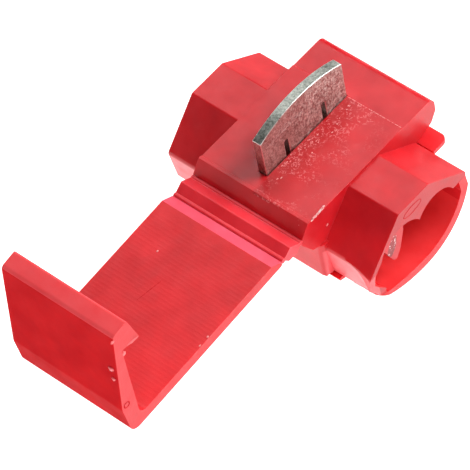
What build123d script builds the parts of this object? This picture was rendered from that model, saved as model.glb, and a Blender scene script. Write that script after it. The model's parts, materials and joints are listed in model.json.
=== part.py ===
"""Quick-splice wire tap connector: a red one-piece moulding with a cover and a flap on living
hinges, and one plated contact blade that stands up, ready to be pressed down onto two wires.

Every piece is drawn in the moulding frame, in millimetres. X runs along the wires, +Y from the
cover's hinges towards the nose that the latch snaps under, and +Z out of the top of the block.
Y = 0 lies midway between the two wires and Z = 0 on the flat underside of the flap. At the end the
whole connector leans over onto the tip of its open cover, as it really lies on a table.
"""

import os
from math import acos, atan2, cos, degrees, hypot, radians, sin

from build123d import *

# Wire channels
body_length = 20.0
wire_pitch = 4.2
bore_radius = 2.25
bore_height = 4.2
near_side_wall = 0.93
far_side_wall = 1.3
roof_wall = 1.8
crest_half = 1.73
near_shoulder_height = 4.7
far_shoulder_height = 5.6
foot_height = 1.4
foot_inset = 0.45
foot_wall = 0.75
rim_height = 5.15
rim_inset = 0.05

# Flare of the near wall at the blind end of the tap wire's channel
flare_run = 2.6
flare_bulge = 0.58
flare_root = 0.5
flare_brim = 0.35
flare_drop = 1.2
flare_waist = 1.95
flare_waist_rise = 0.75
flare_waist_bulge = 0.43
flare_foot_rise = 0.45
flare_foot_tuck = 0.25
flare_wall = 0.65
mouth_relief = 0.28
mouth_shift = 0.26
heel_radius = 1.1
heel_height = 1.9

# Central block
block_width = 10.6
block_rise = 0.25
nose_reach = 8.15
nose_thickness = 1.6
nose_corner = 0.75
nose_undercut = 0.6
nose_neck = 0.85
brow_edge = 6.3
brow_lip_height = 0.12
brow_lip_width = 0.3
step_place = 4.5
step_depth = 0.08
near_panel = 5.7
near_panel_corner = 0.5
near_panel_overhang = 0.25
panel_foot_rise = 0.15
haunch_y = -6.3
haunch_z = 5.45
haunch_depth = 0.45
hinge_edge = 0.3

# Living hinges between the block, the hinge bar and the cover
hinge_1_y = -7.3
hinge_1_z = 7.38
hinge_2_y = -9.26
hinge_2_z = 7.37
web_radius = 0.2
hinge_clearance = 0.03
ridge_y = -8.39
ridge_z = 8.05
bar_depth = 0.55

# Cover and its latch
cover_droop = 4.75
plate_thickness = 1.0
plate_rise = 0.75
plate_flank = 1.25
rib_pitch = 0.34
rib_depth = 0.06
rib_start = 1.9
latch_reach = 17.15
latch_height = 10.95
latch_thickness = 1.25
latch_lean = 1.5
hook_height = 8.7
hook_reach = 1.75
hook_undercut = 0.5
tip_radius = 0.85

# Flap under the wires
floor_wall = 0.8
trough_low_y = 0.3
trough_side_height = 4.0
flap_clearance = 0.05
band_overhang = 1.0
band_near = 5.2
band_edge_height = 1.15
base_near = 2.0
base_far = 6.3
latch_ledge_height = 1.3
far_wall_overhang = 0.3
far_wall_gap = 0.2
far_wall_reach = 7.1
lip_overhang = 1.5
lip_reach = 7.55
lip_thickness = 0.35
lip_top = 5.35
lip_corner = 0.6
flap_hinge_y = -5.35
flap_hinge_rise = 0.05

# Contact blade
blade_x = -0.5
blade_width = 9.2
blade_thickness = 0.8
blade_stand = 3.6
blade_crown = 1.0
blade_slot_gap = 0.45
blade_slot_top = 1.65
blade_lead = 0.7
blade_clearance = 0.05
blade_above_bore = 0.45

# Stop that ends the tap wire's channel
stop_inset = 1.6
stop_thickness = 0.9
stop_half = 1.26
stop_tip = 2.7
stop_tip_half = 0.17

# Sizes that follow from those above
wire_y = wire_pitch / 2
tube_near = -(wire_y + bore_radius + near_side_wall)
tube_far = wire_y + bore_radius + far_side_wall
foot_y = tube_near + foot_inset
far_wall_inside = tube_far + far_wall_gap
crest_z = bore_height + bore_radius + roof_wall
block_top = crest_z + block_rise
blade_bottom = bore_height + bore_radius + blade_above_bore
blade_end_top = block_top + blade_stand
blade_travel = blade_stand + blade_crown
stop_place = body_length / 2 - stop_inset
flap_hinge_z = foot_height + flap_hinge_rise
panel_foot = foot_height + panel_foot_rise
shoulder_slope = (crest_z - near_shoulder_height) / (-crest_half - tube_near)


def section(*corners):
    """Closed face in the YZ plane from corners given as y, z and corner radius."""
    points = [(0, y, z) for y, z, _ in corners]
    radii = [r for _, _, r in corners]
    return make_face(FilletPolyline(*points, radius=radii, close=True))


def along_wires(face, width):
    """The face pulled out along X to a width, half each way."""
    return extrude(face, amount=width / 2, both=True)


def rod(y, z, radius, length):
    """Round rod along X."""
    return Pos(0, y, z) * Rot(0, 90, 0) * Cylinder(radius, length)


def slab(x, y, z):
    """Box between two x values, two y values and two z values."""
    size = [high - low for low, high in (x, y, z)]
    middle = [(high + low) / 2 for low, high in (x, y, z)]
    return Pos(*middle) * Box(*size)


def wire_room():
    """Both round wire channels and the open space under them, as one cutter."""
    long = body_length + 2
    bores = rod(-wire_y, bore_height, bore_radius, long) + rod(wire_y, bore_height, bore_radius, long)
    below = along_wires(
        section(
            (-wire_y - bore_radius, bore_height, 0),
            (foot_y + foot_wall, foot_height, 0),
            (foot_y + foot_wall, -1, 0),
            (nose_reach + 1, -1, 0),
            (nose_reach + 1, rim_height, 0),
            (wire_y, rim_height, 0),
            (wire_y, bore_height, 0),
        ),
        long,
    )
    return bores + below


def blade_passage():
    """Slot that the blade slides down, from above the block to the bottom of its travel."""
    half = blade_width / 2 + blade_clearance
    reach = blade_thickness / 2 + blade_clearance
    bottom = blade_bottom - blade_travel - 2 * blade_clearance
    return slab((blade_x - reach, blade_x + reach), (-half, half), (bottom, block_top + 1))


def tube_section():
    """Outer section of the wire tubes: a flat crest, two sloping shoulders and a near wall."""
    return section(
        (foot_y, foot_height, 0.15),
        (tube_near, near_shoulder_height, 0.45),
        (-crest_half, crest_z, 0.25),
        (crest_half, crest_z, 0.25),
        (tube_far, far_shoulder_height, 0.3),
        (tube_far - rim_inset, rim_height, 0),
        (wire_y, rim_height, 0),
        (wire_y, foot_height, 0),
    )


def near_wall_section(growth):
    """Section of the near wall, part way from its plain shape to its full flare."""
    brim = growth * flare_brim
    foot = foot_y + growth * flare_foot_tuck
    foot_edge = foot_height + growth * flare_foot_rise
    waist_y = foot_y - foot_inset * (flare_waist - foot_height) / (near_shoulder_height - foot_height)
    return section(
        (tube_near + flare_root, near_shoulder_height + shoulder_slope * flare_root, 0),
        (tube_near - brim, near_shoulder_height - shoulder_slope * brim, 0),
        (tube_near - growth * flare_bulge, near_shoulder_height - growth * flare_drop - 0.05, 0),
        (waist_y - growth * flare_waist_bulge, flare_waist + growth * flare_waist_rise, 0),
        (foot, foot_edge, 0),
        (foot + foot_wall / 2, foot_edge, 0),
        (foot_y + foot_wall, near_shoulder_height, 0),
    )


def mouth_flare():
    """Swelling of the near wall that grows along a curve to its full bulge at the blind end."""
    mouth = body_length / 2
    stations = [(flare_run, 0.02), (flare_run * 0.6, 0.15), (flare_run * 0.25, 0.55), (0, 1.0)]
    return loft([Pos(mouth - back, 0, 0) * near_wall_section(grown) for back, grown in stations])


def mouth_room():
    """Wider room past the stop: the channel eased away from the near slope, and the flare's
    hollow, which is the flare moved in by a wall's thickness."""
    past = stop_inset + 1
    eased = rod(mouth_shift - wire_y, bore_height, bore_radius + mouth_relief, past)
    beyond_stop = slab((stop_place, body_length), (2 * tube_near, 0), (0, crest_z))
    return Pos(stop_place + past / 2, 0, 0) * eased + (Pos(0, flare_wall, 0) * mouth_flare() & beyond_stop)


def heel_cut():
    """What rounds the moulding's near bottom corner off at the blind end, seen from above."""
    x = body_length / 2 - heel_radius
    y = foot_y + heel_radius
    corner = slab((x, x + heel_radius + 1), (y - heel_radius - 1, y), (-1, heel_height))
    return corner - Pos(x, y, 0) * Cylinder(heel_radius, 10)


def block_section():
    """Section of the central block with its brow lip, hinge haunch and overhanging nose."""
    nose_under = block_top - nose_thickness
    lip_end = brow_lip_width - brow_edge
    return section(
        (tube_near, panel_foot, 0),
        (tube_near, haunch_z - haunch_depth, 0.1),
        (haunch_y, haunch_z, 0.15),
        (hinge_1_y, hinge_1_z - hinge_edge, 0.1),
        (hinge_1_y, hinge_1_z, 0),
        (-brow_edge - 0.1, block_top, 0),
        (-brow_edge, block_top + brow_lip_height, 0.05),
        (lip_end, block_top + brow_lip_height, 0.05),
        (lip_end + 0.05, block_top, 0),
        (step_place, block_top, 0),
        (step_place + step_depth, block_top - step_depth, 0),
        (nose_reach, block_top - step_depth, nose_corner),
        (nose_reach, nose_under, 0.2),
        (nose_reach - nose_undercut, nose_under - nose_neck, 0.2),
        (tube_far + 0.6, far_shoulder_height, 0.2),
        (tube_far, far_shoulder_height - 0.15, 0),
        (tube_far - rim_inset, rim_height, 0),
        (wire_y, rim_height, 0),
        (wire_y, panel_foot, 0),
    )


def near_panel_wall():
    """Wall that stands under the hinge haunch, with rounded upright corners."""
    half = block_width / 2 + near_panel_overhang
    panel_top = haunch_z - haunch_depth * 2 / 3
    panel = slab((-half, half), (-near_panel, tube_near + near_side_wall / 2), (panel_foot, panel_top))
    return fillet(panel.edges().filter_by(Axis.Z).group_by(Axis.Y)[0], near_panel_corner)


def wire_stop():
    """Pointed tongue that hangs from the roof of the tap channel near its far mouth."""
    shoulder = stop_half * 0.55
    tongue = section(
        (stop_half - wire_y + 0.2, crest_z - roof_wall / 2, 0),
        (stop_half - wire_y, bore_height + 0.85, 0),
        (shoulder - wire_y, stop_tip + 0.75, 0.2),
        (stop_tip_half - wire_y, stop_tip, 0.1),
        (-stop_tip_half - wire_y, stop_tip + 0.15, 0.1),
        (-0.8 * stop_half - wire_y, bore_height + 0.55, 0.2),
        (-stop_half - wire_y, crest_z - roof_wall, 0),
        (-wire_y, crest_z - roof_wall / 2, 0),
    )
    return Pos(stop_place + stop_thickness / 2, 0, 0) * along_wires(tongue, stop_thickness)


def housing():
    """Upper moulding: block and tubes, hollow for the wires, slotted for the blade."""
    tubes = along_wires(tube_section(), body_length)
    block = along_wires(block_section(), block_width)
    seat = web_radius + hinge_clearance
    body = tubes + mouth_flare() + block + near_panel_wall() - wire_room() - mouth_room()
    body -= heel_cut() + blade_passage()
    body -= rod(hinge_1_y, hinge_1_z, seat, block_width + 1)
    body -= rod(flap_hinge_y, flap_hinge_z, seat, block_width + 3)
    return body + wire_stop()


def hinge_bar():
    """Bar between the two living hinges, with a ridge on top and a round bead on each axis."""
    flesh = section(
        (hinge_1_y - 0.1, hinge_1_z - 0.05, 0),
        (hinge_1_y - 0.12, hinge_1_z + 0.12, 0),
        (ridge_y, ridge_z, 0.15),
        (hinge_2_y + 0.12, hinge_2_z + 0.12, 0),
        (hinge_2_y + 0.1, hinge_2_z - 0.05, 0),
        (hinge_2_y + 0.5, hinge_2_z - bar_depth, 0.15),
        (hinge_1_y - 0.5, hinge_1_z - bar_depth, 0.15),
    )
    bar = along_wires(flesh, block_width)
    bar += rod(hinge_1_y, hinge_1_z, web_radius, block_width)
    bar += rod(hinge_2_y, hinge_2_z, web_radius, block_width)
    return bar


def cover_section():
    """Section of plate and latch wall. It lies along -Y from the hinge at the origin."""
    under = plate_rise - plate_thickness
    inner_foot = latch_reach - latch_thickness
    inner_hook = inner_foot - (hook_height - plate_rise) / latch_height * latch_lean / 2
    corners = [
        (-0.1, 0.05, 0),
        (-plate_flank, plate_rise, 0.2),
        (-rib_start, plate_rise, 0),
        (-inner_foot, plate_rise, 0.7),
        (-inner_hook, hook_height, 0.15),
        (hook_reach - inner_hook, hook_height - hook_undercut, 0.12),
        (latch_lean + latch_thickness - latch_reach + 0.25, latch_height, 0.2),
        (latch_lean - latch_reach, latch_height - 0.15, 0.4),
        (-latch_reach, plate_rise + 2.2, 1.5),
        (-latch_reach + 0.1, under, tip_radius),
        (-0.35, under, 0.1),
        (-0.1, -0.1, 0),
    ]
    return section(*corners)


def rib_grooves():
    """Fine grooves across the plate's inner face, one after another."""
    run = latch_reach - latch_thickness - 1.0 - rib_start
    groove = section(
        (-rib_pitch * 0.45, 0.01, 0),
        (0, -rib_depth, 0),
        (rib_pitch * 0.45, 0.01, 0),
    )
    cutter = along_wires(groove, block_width + 1)
    places = [-rib_start - rib_pitch * (i + 0.5) for i in range(int(run / rib_pitch))]
    return [Pos(0, y, plate_rise) * cutter for y in places]


def cover():
    """Cover with its latch, hanging a few degrees below level on its hinge."""
    shell = along_wires(cover_section(), block_width)
    shell -= rod(0, 0, web_radius + hinge_clearance, block_width + 1)
    shell -= rib_grooves()
    return Pos(0, hinge_2_y, hinge_2_z) * Rot(cover_droop, 0, 0) * shell


def trough_outline(inset, lid):
    """Lower shell's rounded section, drawn at its outside or a wall's thickness in, up to a lid."""
    near_inset = foot_wall if inset else 0
    near = (0, foot_y + near_inset, foot_height)
    low = (0, trough_low_y, inset)
    far = (0, tube_far + 0.1 - inset, trough_side_height)
    rim = (0, tube_far - rim_inset - inset, rim_height)
    near_arc = TangentArc(low, near, tangent=(0, -1, 0))
    far_arc = TangentArc(low, far, tangent=(0, 1, 0))
    top = Polyline(far, rim, (0, rim[1], lid), (0, near[1], lid), near)
    return make_face([near_arc, far_arc, top])


def flap_base():
    """Flat base of the flap, from its living hinge to the ledge that the latch hooks under."""
    return along_wires(
        section(
            (-band_near, foot_height, 0),
            (-band_near, band_edge_height, 0.2),
            (-base_near, 0, 0.3),
            (base_far, 0, 0.2),
            (base_far, latch_ledge_height + 0.5, 0),
            (wire_y, latch_ledge_height + 0.5, 0),
            (wire_y, foot_height, 0),
        ),
        block_width + 2 * band_overhang,
    )


def flap_far_wall():
    """Upright far wall of the flap with the snap lip along its top."""
    wall = along_wires(
        section(
            (wire_y, latch_ledge_height, 0),
            (far_wall_reach, latch_ledge_height, 0.15),
            (far_wall_reach, lip_top, 0),
            (far_wall_inside, lip_top, 0.1),
            (far_wall_inside, rim_height - 0.3, 0),
            (wire_y, rim_height - 0.3, 0),
        ),
        block_width + 2 * far_wall_overhang,
    )
    lip_half = block_width / 2 + lip_overhang
    lip = slab((-lip_half, lip_half), (far_wall_inside, lip_reach), (lip_top - lip_thickness, lip_top))
    return wall + fillet(lip.edges().filter_by(Axis.Z).group_by(Axis.Y)[-1], lip_corner)


def run_flap():
    """Flap that closes the wire channels from below, with its snap lip under the nose."""
    shell = along_wires(trough_outline(0, rim_height + 0.1), body_length)
    body = shell + flap_base() + flap_far_wall()
    body -= along_wires(trough_outline(floor_wall, lip_top + 1), body_length + 2)
    near_seam = foot_height - flap_clearance
    far_seam = rim_height - flap_clearance
    everywhere = (-body_length, body_length)
    body -= slab(everywhere, (-band_near - 1, wire_y), (near_seam, lip_top + 1))
    body -= slab(everywhere, (wire_y, far_wall_inside), (far_seam, lip_top + 1))
    body -= heel_cut() + blade_passage()
    return body + rod(flap_hinge_y, flap_hinge_z, web_radius, block_width)


def contact_blade():
    """Plated blade with a crowned top edge and one slot over each wire."""
    half = blade_width / 2
    corner = (blade_x, half, blade_end_top)
    crown = (blade_x, 0, blade_end_top + blade_crown)
    mirror_corner = (blade_x, -half, blade_end_top)
    foot = Polyline(
        mirror_corner,
        (blade_x, -half, blade_bottom + blade_lead),
        (blade_x, -half + blade_lead / 2, blade_bottom),
        (blade_x, half - blade_lead / 2, blade_bottom),
        (blade_x, half, blade_bottom + blade_lead),
        corner,
    )
    top = ThreePointArc(corner, crown, mirror_corner)
    plate = along_wires(make_face([foot, *top.edges()]), blade_thickness)
    slot_top = block_top + blade_slot_top - blade_slot_gap / 2
    for y in (-wire_y, wire_y):
        gap = (y - blade_slot_gap / 2, y + blade_slot_gap / 2)
        plate -= slab((blade_x - 1, blade_x + 1), gap, (blade_bottom - 1, slot_top))
        plate -= Pos(blade_x, 0, 0) * rod(y, slot_top, blade_slot_gap / 2, blade_thickness + 1)
    return plate


def rest_lean():
    """Angle that brings the cover's tip down onto the table beside the base's near edge."""
    droop = radians(cover_droop)
    reach = latch_reach - 0.1 - tip_radius
    rise = plate_rise - plate_thickness + tip_radius
    tip_y = hinge_2_y - reach * cos(droop) - rise * sin(droop)
    tip_z = hinge_2_z - reach * sin(droop) + rise * cos(droop)
    across = -base_near - tip_y
    apart = hypot(across, tip_z)
    return degrees(acos(tip_radius / apart) - atan2(across, tip_z))


def at_rest(pieces):
    """All pieces leant over together, then centred with the lowest point at Z = 0."""
    leant = {name: Rot(rest_lean(), 0, 0) * piece for name, piece in pieces.items()}
    box = Compound(list(leant.values())).bounding_box()
    seat = Pos(-box.center().X, -box.center().Y, -box.min.Z)
    return {name: seat * piece for name, piece in leant.items()}


drawn = {
    "housing": housing(),
    "hinge_bar": hinge_bar(),
    "cover": cover(),
    "run_flap": run_flap(),
    "contact_blade": contact_blade(),
}

os.makedirs("parts", exist_ok=True)
for name, shape in at_rest(drawn).items():
    export_step(shape, f"parts/{name}.step")
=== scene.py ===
"""Looks of the quick-splice tap connector: red translucent plastic, plated blade, bright table.

Small pieces are drawn in the moulding's own frame, in millimetres, as the CAD part is: X along the
wires, +Y from the cover's hinges towards the nose, +Z out of the top of the block. That frame is
found again here from the blade's slide and the lower cover hinge.
"""

import json
import math
import random

import bmesh
import bpy
from mathutils import Matrix, Vector, noise as perlin


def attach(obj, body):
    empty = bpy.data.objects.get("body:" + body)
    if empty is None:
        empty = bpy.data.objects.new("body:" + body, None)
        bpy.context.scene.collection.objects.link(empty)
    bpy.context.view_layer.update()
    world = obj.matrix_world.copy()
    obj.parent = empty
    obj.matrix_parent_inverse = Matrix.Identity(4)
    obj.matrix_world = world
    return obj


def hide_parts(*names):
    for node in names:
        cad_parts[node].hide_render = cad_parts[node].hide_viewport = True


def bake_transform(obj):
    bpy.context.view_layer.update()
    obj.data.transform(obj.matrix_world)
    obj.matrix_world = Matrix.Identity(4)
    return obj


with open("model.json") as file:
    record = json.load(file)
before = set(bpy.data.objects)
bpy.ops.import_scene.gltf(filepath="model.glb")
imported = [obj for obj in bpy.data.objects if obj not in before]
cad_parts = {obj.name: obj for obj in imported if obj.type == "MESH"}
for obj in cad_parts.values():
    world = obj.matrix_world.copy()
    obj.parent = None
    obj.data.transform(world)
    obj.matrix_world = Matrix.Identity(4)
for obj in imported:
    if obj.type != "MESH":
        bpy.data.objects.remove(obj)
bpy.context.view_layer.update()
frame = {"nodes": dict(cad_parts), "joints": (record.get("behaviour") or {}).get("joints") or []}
random.seed(7)

MM = 0.001

# Places and sizes in the moulding's frame, mm
LOWER_HINGE = Vector((0.0, -7.3, 7.38))
UPPER_HINGE = Vector((0.0, -9.26, 7.37))
FLAP_HINGE = Vector((0.0, -5.35, 1.45))
BLOCK_HALF = 5.3
BLOCK_TOP = 8.5
STEP_PLACE = 4.5
NEAR_WALL_FACE = -4.72
NEAR_WALL_TOP = 4.55
MOUTH = 10.0
BLADE_FACE = -0.1
BLADE_SHOULDER = 12.1
BLADE_REACH = 4.6
BORE_HEIGHT = 4.2
TROUGH_HALF = 4.6
PLATE_RISE = 0.75
RIB_DEPTH = 0.06
LATCH_PLACE = -23.0
LATCH_FOOT = 1.4
HINGE_SLOPE_REACH = 1.6
COVER_DROOP = math.radians(4.75)

# The stop's tongue: its middle and the way to its tip, in Y and Z, and its half length and half width
STOP_PLACE = 8.4
TONGUE_MIDDLE = (-2.23, 4.39)
TONGUE_WAY = (-0.43, -0.90)
TONGUE_HALF = (1.05, 0.42)

# How the solids' meshes are dressed, in mm and degrees
EDGE_ROUNDING = 0.05
EDGE_ANGLE = 28.0
FLAT_ANGLE = 0.4
MERGE_DISTANCE = 0.0005

# Share of the ribs' depth that is kept
RIB_KEEP = 0.12

joints = {joint["name"]: joint for joint in frame["joints"]}
slide = joints["blade_press"]["axis"]
LEAN = math.atan2(slide[1], -slide[2])
hinge_place = Vector(joints["cover_hinge_lower"]["pos_m"])
TO_ROW = Matrix.Translation(hinge_place) @ Matrix.Rotation(LEAN, 4, "X") @ Matrix.Scale(MM, 4)
TO_ROW = TO_ROW @ Matrix.Translation(-LOWER_HINGE)
TO_MOULD = TO_ROW.inverted()


# Node helpers


def new_material(name):
    material = bpy.data.materials.new(name)
    material.use_nodes = True
    tree = material.node_tree
    tree.nodes.clear()
    out = tree.nodes.new("ShaderNodeOutputMaterial")
    shader = tree.nodes.new("ShaderNodeBsdfPrincipled")
    tree.links.new(shader.outputs["BSDF"], out.inputs["Surface"])
    return material, tree, shader


def mould_coords(tree, stretch=(1.0, 1.0, 1.0)):
    """The surface point in the moulding's frame, in millimetres, stretched if asked."""
    coords = tree.nodes.new("ShaderNodeTexCoord")
    mapping = tree.nodes.new("ShaderNodeMapping")
    mapping.inputs["Scale"].default_value = (1 / MM,) * 3
    mapping.inputs["Rotation"].default_value = (-LEAN, 0.0, 0.0)
    mapping.inputs["Location"].default_value = TO_MOULD.translation
    tree.links.new(coords.outputs["Object"], mapping.inputs["Vector"])
    if stretch == (1.0, 1.0, 1.0):
        return mapping.outputs["Vector"]
    scaled = tree.nodes.new("ShaderNodeMapping")
    scaled.inputs["Scale"].default_value = stretch
    tree.links.new(mapping.outputs["Vector"], scaled.inputs["Vector"])
    return scaled.outputs["Vector"]


def noise(tree, vector, per_mm, detail=3.0, rough=0.5):
    node = tree.nodes.new("ShaderNodeTexNoise")
    node.inputs["Scale"].default_value = per_mm
    node.inputs["Detail"].default_value = detail
    node.inputs["Roughness"].default_value = rough
    tree.links.new(vector, node.inputs["Vector"])
    return node.outputs["Fac"]


def ramp(tree, fac, stops):
    node = tree.nodes.new("ShaderNodeValToRGB")
    elements = node.color_ramp.elements
    while len(elements) < len(stops):
        elements.new(0.5)
    for element, (place, colour) in zip(elements, stops):
        element.position = place
        element.color = (*colour, 1.0)
    tree.links.new(fac, node.inputs["Fac"])
    return node.outputs["Color"]


def grey(value):
    return (value, value, value)


def maths(tree, operation, *values):
    node = tree.nodes.new("ShaderNodeMath")
    node.operation = operation
    for socket, value in zip(node.inputs, values):
        if isinstance(value, (int, float)):
            socket.default_value = value
        else:
            tree.links.new(value, socket)
    return node.outputs[0]


def product(tree, total, *factors):
    """All the values multiplied together, from the left."""
    for factor in factors:
        total = maths(tree, "MULTIPLY", total, factor)
    return total


def band(tree, value, start, end):
    """0 at start and 1 at end, smooth between them."""
    node = tree.nodes.new("ShaderNodeMapRange")
    node.interpolation_type = "SMOOTHSTEP"
    node.inputs["From Min"].default_value = start
    node.inputs["From Max"].default_value = end
    tree.links.new(value, node.inputs["Value"])
    return node.outputs["Result"]


def blend_colours(tree, fac, first, second):
    node = tree.nodes.new("ShaderNodeMix")
    node.data_type = "RGBA"
    tree.links.new(fac, node.inputs["Factor"])
    tree.links.new(first, node.inputs["A"])
    tree.links.new(second, node.inputs["B"])
    return node.outputs["Result"]


def bump(tree, height, strength, distance_mm, normal=None):
    node = tree.nodes.new("ShaderNodeBump")
    node.inputs["Distance"].default_value = distance_mm * MM
    if isinstance(strength, (int, float)):
        node.inputs["Strength"].default_value = strength
    else:
        tree.links.new(strength, node.inputs["Strength"])
    tree.links.new(height, node.inputs["Height"])
    if normal is not None:
        tree.links.new(normal, node.inputs["Normal"])
    return node.outputs["Normal"]


def split(tree, vector):
    node = tree.nodes.new("ShaderNodeSeparateXYZ")
    tree.links.new(vector, node.inputs["Vector"])
    return node.outputs["X"], node.outputs["Y"], node.outputs["Z"]


# Colours. Each pair is the darker and the lighter end of a mottle.

DARK_RED = (0.54, 0.006, 0.012)
# Deep red, for painted shade
SHADE_RED = (0.40, 0.003, 0.007)
# Darkest red, for painted shadow at the blade's foot and inside the tongue
SHADOW_RED = (0.10, 0.003, 0.004)
# Pale red of painted edge highlights, also the pale end of the near wall's painted sheen
EDGE_HIGHLIGHT_RED = (0.97, 0.14, 0.16)
# Painted sheen on the near wall, and the dim end of the painted highlights on the block's top
SHEEN_RED = (0.97, 0.20, 0.22)
# Stress-whitened chips, and the bright end of painted highlights and glints
WHITENED_AND_GLINT = (0.98, 0.55, 0.53)

BLOCK_REDS = (DARK_RED, (0.70, 0.014, 0.022))
# Brighter red of the channels' inner walls and the mouth: painted light
MOUTH_REDS = ((0.76, 0.026, 0.030), (0.86, 0.050, 0.054))
SATIN_REDS = ((0.62, 0.006, 0.012), (0.80, 0.014, 0.022))
# Darker red of the latch wall's broad faces, painted as shaded; also the ring marks and the plate's
# scratch
LATCH_REDS = ((0.50, 0.004, 0.008), (0.66, 0.010, 0.014))
# Paler red of the latch wall's top, painted as lit
RIM_REDS = ((0.86, 0.070, 0.080), (0.92, 0.110, 0.120))
# Pink of the slope beside the hinge: stress whitening and painted glow of light through the thin plastic
WEB_REDS = ((0.88, 0.075, 0.12), (0.95, 0.12, 0.19))
FLASH_REDS = ((0.92, 0.12, 0.13), (0.96, 0.22, 0.22))
# Paler red of the thin hinge bar: painted glow of light through it
BAR_REDS = ((0.78, 0.030, 0.045), (0.90, 0.055, 0.075))
# Painted highlights on the rounded edges; also the hinge webs' paler skin
EDGE_HIGHLIGHT_REDS = ((0.93, 0.09, 0.11), EDGE_HIGHLIGHT_RED)
CHIP_REDS = ((0.90, 0.16, 0.17), WHITENED_AND_GLINT)

STRIP_TONES = ((0.28, 0.24, 0.21), (0.66, 0.62, 0.57))
SHEARED_TONES = ((0.22, 0.24, 0.21), (0.66, 0.68, 0.62))
# Bright metal of the blade's rounded edges, painted as edge highlights, and of its scratches
BRIGHT_TONES = ((0.80, 0.79, 0.75), (0.93, 0.92, 0.88))
WORN_TONES = ((0.50, 0.36, 0.32), (0.74, 0.62, 0.56))

PLASTIC_GLOSS = 0.5
SOFT_GLOSS = 0.01
PLASTIC_IOR = 1.49
GLOW_COLOURS = (1.0, 0.12, 0.10)
GLOW_DEPTH = 0.8


# Materials


def translucent(shader, weight):
    """What makes the plastic glow a little where it is thin."""
    shader.inputs["Subsurface Weight"].default_value = weight
    shader.inputs["Subsurface Radius"].default_value = GLOW_COLOURS
    shader.inputs["Subsurface Scale"].default_value = GLOW_DEPTH * MM
    shader.inputs["IOR"].default_value = PLASTIC_IOR


def near_wall_painted_sheen(tree, x, y, z, gloss, colour):
    """Painted sheen: paler plastic where the near wall beside the block is thin, standing for the white
    table's light on it.
    """
    outside = band(tree, y, NEAR_WALL_FACE, NEAR_WALL_FACE - 0.12)
    below = band(tree, z, NEAR_WALL_TOP, NEAR_WALL_TOP - 0.25)
    beside_block = band(tree, maths(tree, "ABSOLUTE", x), BLOCK_HALF, BLOCK_HALF + 0.3)
    pale = ramp(tree, gloss, [(0.3, SHEEN_RED), (0.75, EDGE_HIGHLIGHT_RED)])
    return blend_colours(tree, product(tree, outside, below, beside_block, 0.85), colour, pale)


def blade_gap_painted_shadow(tree, x, y, top, near, gloss, colour):
    """Painted shadow: the gap at the foot of the blade's broad face, painted as a dark line."""
    before_face = band(tree, x, BLADE_FACE - 0.2, BLADE_FACE - 0.1)
    behind_face = band(tree, x, BLADE_FACE + 0.14, BLADE_FACE + 0.09)
    in_reach = band(tree, y, -BLADE_REACH - 0.05, -BLADE_REACH + 0.05)
    gap = product(tree, behind_face, top, in_reach, product(tree, near, before_face))
    dark = ramp(tree, gloss, [(0.0, SHADOW_RED), (1.0, SHADE_RED)])
    return blend_colours(tree, product(tree, gap, 0.9), colour, dark)


def sparked_top_and_painted_light(tree, place, x, y, z, gloss, colour, normal):
    """Leathery grain bump on the block's top, with painted highlights in bright crescents, and painted
    shade beside the blade.
    """
    top = band(tree, z, BLOCK_TOP - 0.04, BLOCK_TOP - 0.015)
    near = band(tree, y, STEP_PLACE, STEP_PLACE - 0.1)
    right = band(tree, x, BLADE_FACE, BLADE_FACE + 0.3)
    beside = product(tree, top, near, right)

    # Painted shade on the block's top beside the blade
    near_blade = band(tree, x, BLADE_FACE + 2.6, BLADE_FACE + 0.5)
    deep = ramp(tree, gloss, [(0.2, SHADE_RED), (0.9, DARK_RED)])
    colour = blend_colours(tree, product(tree, beside, near_blade, 0.75), colour, deep)

    # Painted highlights: bright crescents on the grain's wave crests, in the patches that rubbed picks,
    # where the bump is strong too
    fading = band(tree, x, BLOCK_HALF + 0.6, BLADE_FACE + 0.6)
    rubbed = band(tree, noise(tree, place, 0.42, 2.0), 0.40, 0.54)
    waves = noise(tree, place, 4.4, 2.0)
    crest = band(tree, maths(tree, "ABSOLUTE", maths(tree, "SUBTRACT", waves, 0.5)), 0.055, 0.020)
    broken = band(tree, noise(tree, place, 3.6, 2.0), 0.44, 0.58)
    lit = product(tree, crest, broken, rubbed, product(tree, beside, fading))
    white = ramp(tree, gloss, [(0.0, SHEEN_RED), (1.0, WHITENED_AND_GLINT)])
    colour = blend_colours(tree, product(tree, lit, 0.5), colour, white)

    # Painted shadow at the blade's foot
    colour = blade_gap_painted_shadow(tree, x, y, top, near, gloss, colour)
    return colour, bump(tree, waves, product(tree, beside, rubbed, 0.6), 0.05, normal)


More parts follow.
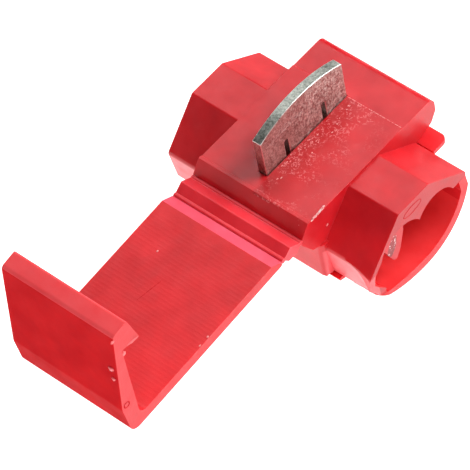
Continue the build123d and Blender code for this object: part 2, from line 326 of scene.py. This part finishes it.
def tongue_shade(tree, place, x, y, z, gloss, colour):
    """Painted shade inside the outline of the stop's tongue, with painted glints, and painted shade on
    the mouth's rim.
    """
    way_y, way_z = TONGUE_WAY
    half_length, half_width = TONGUE_HALF
    over = maths(tree, "SUBTRACT", y, TONGUE_MIDDLE[0])
    above = maths(tree, "SUBTRACT", z, TONGUE_MIDDLE[1])
    along = maths(tree, "ADD", product(tree, over, way_y), product(tree, above, way_z))
    aside = maths(tree, "ADD", product(tree, over, way_z), product(tree, above, -way_y))
    far = maths(tree, "POWER", product(tree, along, 1 / half_length), 2.0)
    wide = maths(tree, "POWER", product(tree, aside, 1 / half_width), 2.0)
    oval = band(tree, maths(tree, "ADD", far, wide), 1.25, 0.75)
    inside = product(tree, oval, band(tree, x, STOP_PLACE - 0.1, STOP_PLACE - 0.02))
    dark = ramp(tree, gloss, [(0.2, SHADOW_RED), (0.8, SHADE_RED)])
    colour = blend_colours(tree, product(tree, inside, 0.85), colour, dark)

    # Painted shade on the mouth's rim
    rim = band(tree, x, MOUTH - 0.04, MOUTH - 0.01)
    colour = blend_colours(tree, product(tree, rim, 0.35), colour, dark)

    # Painted glints inside the tongue
    glint = product(tree, band(tree, noise(tree, place, 5.0, 2.0), 0.58, 0.64), inside)
    white = ramp(tree, gloss, [(0.0, WHITENED_AND_GLINT), (1.0, grey(0.95))])
    return blend_colours(tree, product(tree, glint, 0.8), colour, white)


def red_plastic(name, reds, roughness, grain, specular=PLASTIC_GLOSS, sparked_and_painted=False, streaked=False):
    """Red moulding with a soft mottle and fine grain; on the block also painted sheen, painted shade,
    painted glints, and a spark-eroded finish on the block's top with painted highlights.
    """
    dark, light = reds
    material, tree, shader = new_material(name)
    place = mould_coords(tree)
    colour = ramp(tree, noise(tree, place, 0.35, 4.0, 0.55), [(0.3, dark), (0.72, light)])
    gloss = noise(tree, place, 0.9, 3.0)
    normal = bump(tree, noise(tree, place, 9.0, 4.0, 0.6), grain, 0.015)
    normal = bump(tree, noise(tree, place, 0.6, 2.0), 0.06, 0.04, normal)
    rough = ramp(tree, gloss, [(0.3, grey(roughness - 0.05)), (0.75, grey(roughness + 0.08))])
    if streaked:
        streaks = noise(tree, mould_coords(tree, (0.35, 1.0, 1.0)), 3.6, 4.0, 0.65)
        normal = bump(tree, streaks, 0.28, 0.03, normal)
    if sparked_and_painted:
        # Painted sheen on the near wall, painted shade and glints in the tongue and on the mouth's rim,
        # painted highlights and shade on the block's top
        x, y, z = split(tree, place)
        colour = near_wall_painted_sheen(tree, x, y, z, gloss, colour)
        colour = tongue_shade(tree, place, x, y, z, gloss, colour)
        colour, normal = sparked_top_and_painted_light(tree, place, x, y, z, gloss, colour, normal)
    tree.links.new(colour, shader.inputs["Base Color"])
    tree.links.new(rough, shader.inputs["Roughness"])
    tree.links.new(normal, shader.inputs["Normal"])
    shader.inputs["Specular IOR Level"].default_value = specular
    translucent(shader, 0.35)
    return material


def whitened_plastic():
    """Rough, stress-whitened plastic of chips, burrs and specks."""
    dark, light = CHIP_REDS
    material, tree, shader = new_material("whitened_plastic")
    place = mould_coords(tree)
    colour = ramp(tree, noise(tree, place, 5.0, 3.0), [(0.35, dark), (0.6, light)])
    tree.links.new(colour, shader.inputs["Base Color"])
    rough = ramp(tree, noise(tree, place, 8.0, 2.0), [(0.3, grey(0.2)), (0.7, grey(0.45))])
    tree.links.new(rough, shader.inputs["Roughness"])
    tree.links.new(bump(tree, noise(tree, place, 11.0, 3.0), 0.6, 0.03), shader.inputs["Normal"])
    translucent(shader, 0.2)
    return material


def plated_metal(name, tones, roughness, per_mm, pitting, rubbed=False):
    """Plated strip with a granular tone between two values, and pale worn grains if rubbed."""
    dark, light = tones
    material, tree, shader = new_material(name)
    place = mould_coords(tree)
    grains = noise(tree, place, per_mm, 4.0, 0.7)
    patches = noise(tree, place, 0.8, 4.0, 0.6)
    mixed = maths(tree, "ADD", product(tree, grains, 0.65), product(tree, patches, 0.35))
    colour = ramp(tree, mixed, [(0.40, dark), (0.60, light)])
    rough = ramp(tree, mixed, [(0.35, grey(roughness - 0.06)), (0.65, grey(roughness + 0.08))])
    tree.links.new(rough, shader.inputs["Roughness"])
    shader.inputs["Metallic"].default_value = 1.0
    if rubbed:
        _, y, _ = split(tree, place)
        far_end = band(tree, y, NEAR_WALL_FACE, STEP_PLACE)
        worn = maths(tree, "ADD", grains, product(tree, far_end, 0.09))
        pale = product(tree, band(tree, worn, 0.56, 0.68), 0.75)
        worn_dark, worn_light = WORN_TONES
        bare = ramp(tree, patches, [(0.3, worn_dark), (0.7, worn_light)])
        colour = blend_colours(tree, pale, colour, bare)
        tree.links.new(maths(tree, "SUBTRACT", 1.0, pale), shader.inputs["Metallic"])
    tree.links.new(colour, shader.inputs["Base Color"])
    tree.links.new(bump(tree, grains, pitting, 0.02), shader.inputs["Normal"])
    return material


red_block = red_plastic("red_moulding_sparked_and_painted", BLOCK_REDS, 0.34, 0.5, sparked_and_painted=True)
red_mouth = red_plastic("red_moulding_mouth", MOUTH_REDS, 0.34, 0.35)
red = red_plastic("red_moulding_satin", SATIN_REDS, 0.42, 0.5)
red_plate = red_plastic("red_moulding_plate", SATIN_REDS, 0.42, 0.6, streaked=True)
red_latch = red_plastic("red_moulding_latch", LATCH_REDS, 0.45, 0.3, SOFT_GLOSS)
red_rim = red_plastic("red_moulding_rim", RIM_REDS, 0.45, 0.4, SOFT_GLOSS)
red_web = red_plastic("red_moulding_web", WEB_REDS, 0.38, 0.4)
red_flash = red_plastic("red_moulding_flash", FLASH_REDS, 0.34, 0.5)
red_bar = red_plastic("red_moulding_thin", BAR_REDS, 0.38, 0.3)
red_edge = red_plastic("red_moulding_edge", EDGE_HIGHLIGHT_REDS, 0.32, 0.2)
white_red = whitened_plastic()
metal = plated_metal("plated_strip", STRIP_TONES, 0.34, 6.5, 0.5, rubbed=True)
sheared = plated_metal("sheared_strip", SHEARED_TONES, 0.46, 5.5, 0.8)
bright = plated_metal("bright_strip_edge", BRIGHT_TONES, 0.30, 4.0, 0.2)


# Pieces that stand for the moulded and stamped nodes


def flatten_ribs(build):
    """Worn, shallower ribs on the cover's inner face, within their own depth."""
    to_plate = Matrix.Rotation(-COVER_DROOP, 4, "X") @ Matrix.Translation(-UPPER_HINGE)
    from_plate = to_plate.inverted()
    for vertex in build.verts:
        flat = to_plate @ vertex.co
        if PLATE_RISE - RIB_DEPTH * 1.1 < flat.z < PLATE_RISE - RIB_DEPTH * 0.1:
            flat.z = PLATE_RISE - (PLATE_RISE - flat.z) * RIB_KEEP
            vertex.co = from_plate @ flat


def blade_choice(face):
    """1 for the crowned, sheared top edge of the blade."""
    return 1 if face.normal.z > 0.5 and face.calc_center_median().z > BLADE_SHOULDER - 0.1 else 0


def housing_choice(face):
    """1 for the walls inside the wire channels and the flared mouth, which get a brighter red painted as
    lit.
    """
    centre = face.calc_center_median()
    if abs(face.normal.x) > 0.8 or centre.z > BLOCK_TOP - 1.0:
        return 0
    out = Vector((0.0, centre.y, centre.z - BORE_HEIGHT)).normalized()
    return 1 if out.dot(face.normal) < -0.2 else 0


def flap_choice(face):
    """1 for the flap's trough, which is the lower half of the mouth and painted as lit like it."""
    return housing_choice(face) if abs(face.calc_center_median().y) < TROUGH_HALF else 0


def cover_choice(face):
    """1 for the latch wall's broad faces, a darker copy painted as shaded; 2 for its top, a paler copy
    painted as lit; 3 for the slope beside the hinge, pink for stress whitening and painted glow.
    """
    centre = face.calc_center_median()
    on_latch = centre.y < LATCH_PLACE and abs(face.normal.x) < 0.8
    if on_latch and (centre.z > UPPER_HINGE.z + LATCH_FOOT or face.normal.y < -0.2):
        return 2 if face.normal.z > 0.4 else 1
    if centre.y > UPPER_HINGE.y - HINGE_SLOPE_REACH and face.normal.y > 0.2 and face.normal.z > 0.2:
        return 3
    return 0


def rounded_copy(node, materials, choose=None, reshape=None):
    """The node's shape with its sharp edges rounded by a hair, standing for the node."""
    name = node + "_rounded"
    mesh = frame["nodes"][node].data.copy()
    mesh.name = name
    mesh.materials.clear()
    for material in materials:
        mesh.materials.append(material)
    build = bmesh.new()
    build.from_mesh(mesh)
    bmesh.ops.transform(build, matrix=TO_MOULD, verts=build.verts)
    bmesh.ops.remove_doubles(build, verts=build.verts, dist=MERGE_DISTANCE)
    if reshape:
        reshape(build)
    flat = math.radians(FLAT_ANGLE)
    bmesh.ops.dissolve_limit(build, angle_limit=flat, verts=build.verts, edges=build.edges)
    for face in build.faces:
        face.smooth = True
        face.material_index = choose(face) if choose else 0
    build.to_mesh(mesh)
    build.free()
    piece = bpy.data.objects.new(name, mesh)
    bpy.context.scene.collection.objects.link(piece)
    bevel = piece.modifiers.new("rounding", "BEVEL")
    bevel.width = EDGE_ROUNDING
    bevel.segments = 2
    bevel.limit_method = "ANGLE"
    bevel.angle_limit = math.radians(EDGE_ANGLE)
    bevel.use_clamp_overlap = True
    # The rounded edges take the last, paler material: painted edge highlights
    bevel.material = len(materials) - 1
    weighted = piece.modifiers.new("even shading", "WEIGHTED_NORMAL")
    weighted.keep_sharp = True
    bpy.context.view_layer.update()
    graph = bpy.context.evaluated_depsgraph_get()
    finished = bpy.data.meshes.new_from_object(piece.evaluated_get(graph))
    piece.modifiers.clear()
    piece.data = finished
    finished.transform(TO_ROW)
    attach(piece, node)
    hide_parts(node)
    return piece


rounded_copy("housing", [red_block, red_mouth, red_edge], housing_choice)
rounded_copy("run_flap", [red, red_mouth, red_edge], flap_choice)
rounded_copy("hinge_bar", [red_bar, red_edge])
cover_reds = [red_plate, red_latch, red_rim, red_web, red_edge]
rounded_copy("cover", cover_reds, cover_choice, flatten_ribs)
rounded_copy("contact_blade", [metal, sheared, bright], blade_choice)


# Small marks left by the mould, the press and handling. Their places and sizes are in mm.

# Place, size along X, Y and Z, and turn about X in radians
FLASH_BEADS = [
    ((5.22, -25.14, 14.2), (0.22, 0.40, 0.40), 0.4),
    ((4.72, -26.14, 13.1), (0.50, 0.26, 0.44), 0.1),
    ((4.84, -26.25, 12.1), (0.36, 0.22, 0.34), 0.1),
    ((5.26, -24.22, 14.66), (0.20, 1.15, 0.22), -0.19),
    ((5.28, -25.85, 16.4), (0.14, 0.34, 0.24), 0.0),
]
# Start and end in Y and Z, and width
SCRATCHES = [
    ((-4.2, 11.23), (-0.05, 11.39), 0.055),
    ((-2.62, 11.71), (-1.74, 11.82), 0.03),
]
# Place along the wires, distance from the upper hinge, and size
PLATE_SPECKS = [(5.2, 8.28, 0.15), (5.2, 9.16, 0.14), (-2.7, 4.76, 0.13)]
CHIPS = 11
CHIP_START = -5.75
CHIP_PITCH = 0.135
SLOT_BURRS = 34
STEP_BURRS = 22
STEP_BURR_PITCH = 0.225
# A hinge's web: its half width, and its radii round the hinge's axis
WEB_HALF = BLOCK_HALF - 0.1
WEB_INSIDE = 0.204
WEB_OUTSIDE = 0.226
WEB_STEPS = 16
RIDGE_STEPS = 24
RIDGE_LIFT = 0.008


def add_piece(name, build, material, body):
    """Turns a mesh drawn in the moulding's frame into a piece that rides on a body, if one is named."""
    bmesh.ops.recalc_face_normals(build, faces=build.faces)
    for face in build.faces:
        face.smooth = True
    mesh = bpy.data.meshes.new(name)
    build.to_mesh(mesh)
    build.free()
    mesh.transform(TO_ROW)
    mesh.materials.append(material)
    piece = bpy.data.objects.new(name, mesh)
    bpy.context.scene.collection.objects.link(piece)
    if body:
        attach(piece, body)
    return piece


def lump(build, place, size, turn=0.0, roughness=0.35):
    """An uneven blob, half sunk where it sits, with its sizes along X, Y and Z."""
    seat = Matrix.Translation(place) @ Matrix.Rotation(turn, 4, "X") @ Matrix.Diagonal((*size, 1.0))
    made = bmesh.ops.create_icosphere(build, subdivisions=3, radius=0.5)
    shift = Vector((random.uniform(0, 90), random.uniform(0, 90), 0))
    for vertex in made["verts"]:
        vertex.co *= 1.0 + roughness * perlin.noise(vertex.co * 3.1 + shift)
        vertex.co = seat @ vertex.co


def latch_flash():
    """Beads of flash along the latch wall's end."""
    build = bmesh.new()
    for place, size, turn in FLASH_BEADS:
        lump(build, Vector(place), size, turn)
    add_piece("latch_flash", build, red_flash, "cover")


def ring(build, centre, across, up, wire, turn):
    """Flat oval ring that stands a hair proud of a face square to X."""
    around, about = 48, 8
    rows = []
    for i in range(around):
        angle = 2 * math.pi * i / around
        out = Vector((0, math.cos(angle) * across, math.sin(angle) * up))
        away = out.normalized()
        row = []
        for j in range(about):
            lift = 2 * math.pi * j / about
            point = out + away * wire * math.cos(lift) + Vector((wire * 0.6 * math.sin(lift), 0, 0))
            row.append(build.verts.new(Matrix.Rotation(turn, 3, "X") @ point + centre))
        rows.append(row)
    for i in range(around):
        here, after = rows[i], rows[(i + 1) % around]
        for j in range(about):
            k = (j + 1) % about
            build.faces.new((here[j], after[j], after[k], here[k]))


def edge_chips():
    """Torn white chips along the block's near right top edge, and two beads beside them."""
    build = bmesh.new()
    for i in range(CHIPS):
        along = CHIP_START + CHIP_PITCH * i + random.uniform(-0.04, 0.04)
        side = BLOCK_HALF - random.uniform(0.02, 0.16)
        size = (random.uniform(0.05, 0.16), random.uniform(0.22, 0.42), random.uniform(0.05, 0.12))
        lump(build, Vector((side, along, BLOCK_TOP)), size, random.uniform(-0.25, 0.25), 0.6)
    lump(build, Vector((BLOCK_HALF, -4.5, 6.55)), (0.08, 0.22, 0.16), 0.3, 0.5)
    lump(build, Vector((4.6, -6.55, 8.15)), (0.30, 0.14, 0.26), 0.0, 0.4)
    add_piece("edge_chips", build, white_red, "housing")


def step_burrs():
    """Specks of torn plastic beside the blade's slot and along the step in the block's top."""
    build = bmesh.new()
    for _ in range(SLOT_BURRS):
        place = Vector((random.uniform(0.05, 1.3), random.uniform(-4.6, 4.4), BLOCK_TOP))
        length = random.uniform(0.05, 0.2)
        lump(build, place, (random.uniform(0.04, 0.09), length, 0.035), 0.0, 0.5)
    for i in range(STEP_BURRS):
        across = 0.3 + i * STEP_BURR_PITCH + random.uniform(-0.08, 0.08)
        place = Vector((across, STEP_PLACE, BLOCK_TOP - 0.01))
        lump(build, place, (random.uniform(0.08, 0.24), 0.05, 0.04), 0.0, 0.5)
    add_piece("slot_burrs", build, white_red, "housing")


def gate_mark():
    """Oval witness of the gate on the rim between the two channels."""
    build = bmesh.new()
    ring(build, Vector((MOUTH, -0.25, 7.42)), 1.0, 0.36, 0.035, math.radians(3))
    add_piece("gate_mark", build, red_latch, "housing")


def pin_mark():
    """Round ejector witness low on the latch wall's end."""
    build = bmesh.new()
    ring(build, Vector((BLOCK_HALF, -26.1, 9.1)), 0.26, 0.26, 0.04, 0.0)
    add_piece("pin_mark", build, red_latch, "cover")


def strip(build, low, high, width, out):
    """Fine ridge between two places, tapered to both ends, a hair out of its face."""
    side = (high - low).cross(out).normalized()
    lift = out * RIDGE_LIFT
    rows = []
    for i in range(RIDGE_STEPS + 1):
        middle = low.lerp(high, i / RIDGE_STEPS)
        half = width / 2 * (0.35 + 0.65 * math.sin(math.pi * i / RIDGE_STEPS)) * random.uniform(0.7, 1.1)
        corners = (middle - side * half - lift, middle + lift, middle + side * half - lift)
        rows.append([build.verts.new(corner) for corner in corners])
    for here, after in zip(rows, rows[1:]):
        for j in range(3):
            k = (j + 1) % 3
            build.faces.new((here[j], after[j], after[k], here[k]))
    build.faces.new(rows[0])
    build.faces.new(rows[-1])


def blade_scratches():
    """Two faint straight scratches across the blade's broad face."""
    build = bmesh.new()
    for start, end, width in SCRATCHES:
        low = Vector((BLADE_FACE, *start))
        high = Vector((BLADE_FACE, *end))
        strip(build, low, high, width, Vector((1, 0, 0)))
    add_piece("blade_scratches", build, bright, "contact_blade")


def on_plate(x, along):
    """A place on the cover's inner face, by its distance from the upper hinge."""
    return UPPER_HINGE + Matrix.Rotation(COVER_DROOP, 3, "X") @ Vector((x, -along, PLATE_RISE))


def plate_marks():
    """Three pale specks and one fine scratch on the cover's inner face."""
    build = bmesh.new()
    for x, along, size in PLATE_SPECKS:
        lump(build, on_plate(x, along), (size, size * 1.3, 0.08), 0.0, 0.5)
    add_piece("plate_specks", build, white_red, "cover")
    build = bmesh.new()
    up = Matrix.Rotation(COVER_DROOP, 3, "X") @ Vector((0, 0, 1))
    strip(build, on_plate(-0.78, 6.48), on_plate(-1.22, 8.8), 0.06, up)
    add_piece("plate_scratch", build, red_latch, "cover")


def spoke(radius, angle, x=0.0):
    """A place at an angle round X, in degrees, away from an axis through the origin."""
    turned = math.radians(angle)
    return Vector((x, radius * math.cos(turned), radius * math.sin(turned)))


def hinge_web(name, axis, half_width, end_angle=-160, start_angle=-20):
    """Thin skin of a living hinge, wrapped round its axis from the second body to the first."""
    build = bmesh.new()
    rings = []
    for x in (-half_width, half_width):
        for radius in (WEB_INSIDE, WEB_OUTSIDE):
            row = []
            for i in range(WEB_STEPS + 1):
                angle = end_angle + (start_angle - end_angle) * i / WEB_STEPS
                row.append(build.verts.new(axis + spoke(radius, angle, x)))
            rings.append(row)
    left_in, left_out, right_in, right_out = rings
    sides = [(left_in, left_out), (left_out, right_out), (right_out, right_in), (right_in, left_in)]
    for one, other in sides:
        for i in range(WEB_STEPS):
            build.faces.new((one[i], other[i], other[i + 1], one[i + 1]))
    for i in (0, WEB_STEPS):
        build.faces.new((left_in[i], left_out[i], right_out[i], right_in[i]))
    # The web takes the pale edge red: stress whitening and painted glow through the thin skin
    piece = add_piece(name, build, red_edge, None)
    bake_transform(piece)


latch_flash()
edge_chips()
step_burrs()
gate_mark()
pin_mark()
blade_scratches()
plate_marks()
hinge_web("lower_hinge_web", LOWER_HINGE, WEB_HALF)
hinge_web("upper_hinge_web", UPPER_HINGE, WEB_HALF)
hinge_web("flap_hinge_web", FLAP_HINGE, WEB_HALF, end_angle=262, start_angle=110)


# Table, light and camera. Their places and sizes are in metres.

TABLE_HALF = 1.2
TABLE_GLOW = 1.31
ROOM_GLOW = 0.0
LIGHT_DISTANCE = 0.24
LIGHT_SIZE = 0.14
# Name, the way towards the light, and its power in watts
LIGHTS = [
    ("back left", (-0.475, 0.187, 0.86), 0.137),
    ("back right", (0.39, 0.47, 0.79), 0.62),
    ("front", (0.5, -0.62, 0.6), 0.111),
    ("back", (0.0, 0.9, 0.45), 0.23),
    ("right front", (0.85, -0.35, 0.3), 0.066),
]
# The photograph's camera: its place, and the ways right, up and back
CAMERA_PLACE = (0.139059, -0.163792, 0.202083)
CAMERA_RIGHT = (0.750673, 0.660273, 0.023)
CAMERA_UP = (-0.459214, 0.496426, 0.736671)
CAMERA_BACK = (0.474986, -0.563561, 0.67586)
CAMERA_LENS = 306.383
CAMERA_SENSOR = 36.0


def stage_floor():
    """A white light table, which glows a little, so that shadows on it are faint."""
    material, tree, shader = new_material("table")
    place = mould_coords(tree)
    cloud = noise(tree, place, 0.02, 2.0)
    shade = ramp(tree, cloud, [(0.3, grey(0.24)), (0.7, grey(0.26))])
    glow = ramp(tree, cloud, [(0.3, grey(0.98)), (0.7, grey(1.0))])
    tree.links.new(shade, shader.inputs["Base Color"])
    tree.links.new(glow, shader.inputs["Emission Color"])
    shader.inputs["Emission Strength"].default_value = TABLE_GLOW
    shader.inputs["Roughness"].default_value = 0.9
    shader.inputs["Specular IOR Level"].default_value = 0.1
    mesh = bpy.data.meshes.new("table")
    corners = [(-1, -1), (1, -1), (1, 1), (-1, 1)]
    mesh.from_pydata([(x * TABLE_HALF, y * TABLE_HALF, 0) for x, y in corners], [], [(0, 1, 2, 3)])
    mesh.materials.append(material)
    floor = bpy.data.objects.new("table", mesh)
    bpy.context.scene.collection.objects.link(floor)


def dark_room():
    """A white room that gives no light of its own."""
    world = bpy.data.worlds.new("pale room")
    bpy.context.scene.world = world
    world.use_nodes = True
    background = world.node_tree.nodes["Background"]
    background.inputs["Color"].default_value = (1.0, 1.0, 1.0, 1.0)
    background.inputs["Strength"].default_value = ROOM_GLOW


def soft_light(name, way, power):
    lamp = bpy.data.lights.new(name, "AREA")
    lamp.shape = "SQUARE"
    lamp.size = LIGHT_SIZE
    lamp.energy = power
    holder = bpy.data.objects.new(name, lamp)
    bpy.context.scene.collection.objects.link(holder)
    holder.location = Vector(way).normalized() * LIGHT_DISTANCE
    holder.rotation_mode = "QUATERNION"
    holder.rotation_quaternion = (-holder.location).to_track_quat("-Z", "Y")


def photo_camera():
    camera = bpy.data.cameras.new("camera")
    camera.sensor_width = CAMERA_SENSOR
    camera.lens = CAMERA_LENS
    camera.clip_start = 0.01
    camera.clip_end = 10.0
    holder = bpy.data.objects.new("camera", camera)
    bpy.context.scene.collection.objects.link(holder)
    turn = Matrix((CAMERA_RIGHT, CAMERA_UP, CAMERA_BACK)).transposed().to_4x4()
    holder.matrix_world = Matrix.Translation(CAMERA_PLACE) @ turn
    bpy.context.scene.camera = holder


stage_floor()
dark_room()
for light, way, power in LIGHTS:
    soft_light(light, way, power)
bpy.context.scene.view_settings.view_transform = "Standard"
photo_camera()
